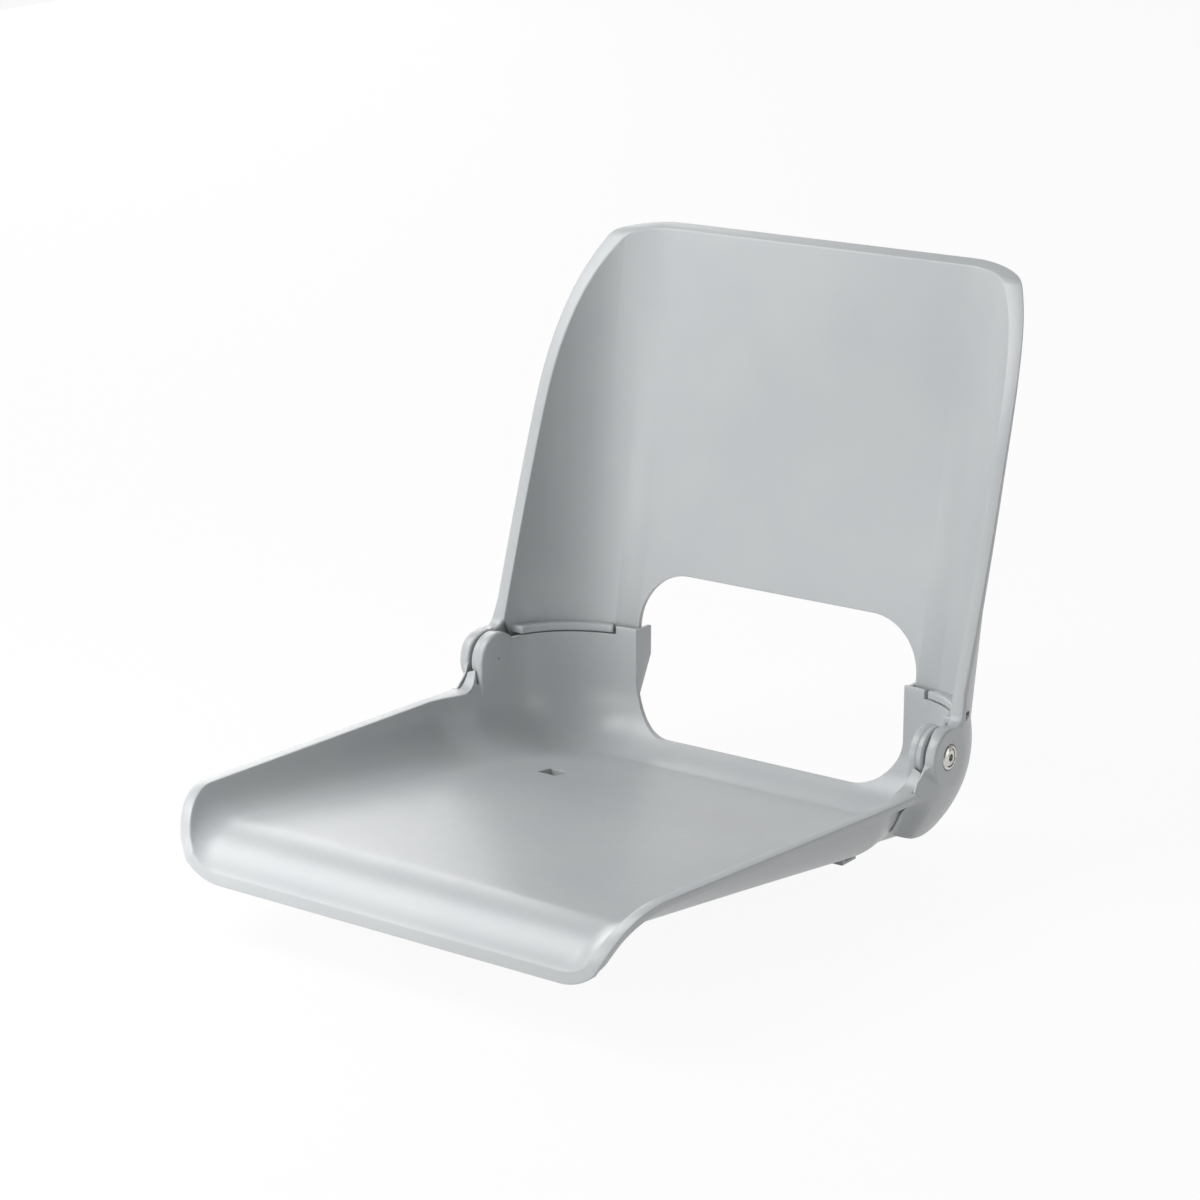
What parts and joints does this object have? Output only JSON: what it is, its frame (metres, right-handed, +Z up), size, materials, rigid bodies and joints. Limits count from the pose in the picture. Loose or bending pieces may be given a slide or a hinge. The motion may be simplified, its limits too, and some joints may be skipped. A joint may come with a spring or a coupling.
{
  "type": "folding boat seat",
  "caption": "Folding moulded boat seat: dished pan with a rolled front lip and a wrap-round backrest with an open window, folding forward on side hinges.",
  "frame": {"origin": "centre of the pedestal hub's flat face under the seat pan", "axes": "+Z up, the seat faces -Y, X across the seat; the hinge axis runs along X at Y 70 mm, Z 98 mm"},
  "size_m": [0.4094, 0.5104, 0.4095],
  "materials": {
    "seat_plastic": "satin, fine moulded grain, light grey",
    "backrest_plastic": "satin, fine moulded grain, light grey",
    "stainless": "polished stainless steel",
    "bush_nylon": "plain black",
    "washer_nylon": "plain natural",
    "insert_brass": "turned"
  },
  "bodies": {
    "seat": {"seat_shell": "seat_plastic", "hinge_screw_left": "stainless", "hinge_screw_right": "stainless", "hinge_cup_washer_left": "stainless", "hinge_cup_washer_right": "stainless", "hinge_washer_left": "washer_nylon", "hinge_washer_right": "washer_nylon", "hinge_insert_left": "insert_brass", "hinge_insert_right": "insert_brass", "base_insert_front_left": "insert_brass", "base_insert_front_right": "insert_brass", "base_insert_rear_left": "insert_brass", "base_insert_rear_right": "insert_brass"},
    "backrest": {"backrest_shell": "backrest_plastic", "hinge_bush_left": "bush_nylon", "hinge_bush_right": "bush_nylon"}
  },
  "joints": [
    {"name": "backrest_fold", "type": "hinge", "parent": "seat", "child": "backrest", "pos_m": [0, 0.07, 0.098], "axis": [1, 0, 0], "range_deg": [0, 110]}
  ]
}
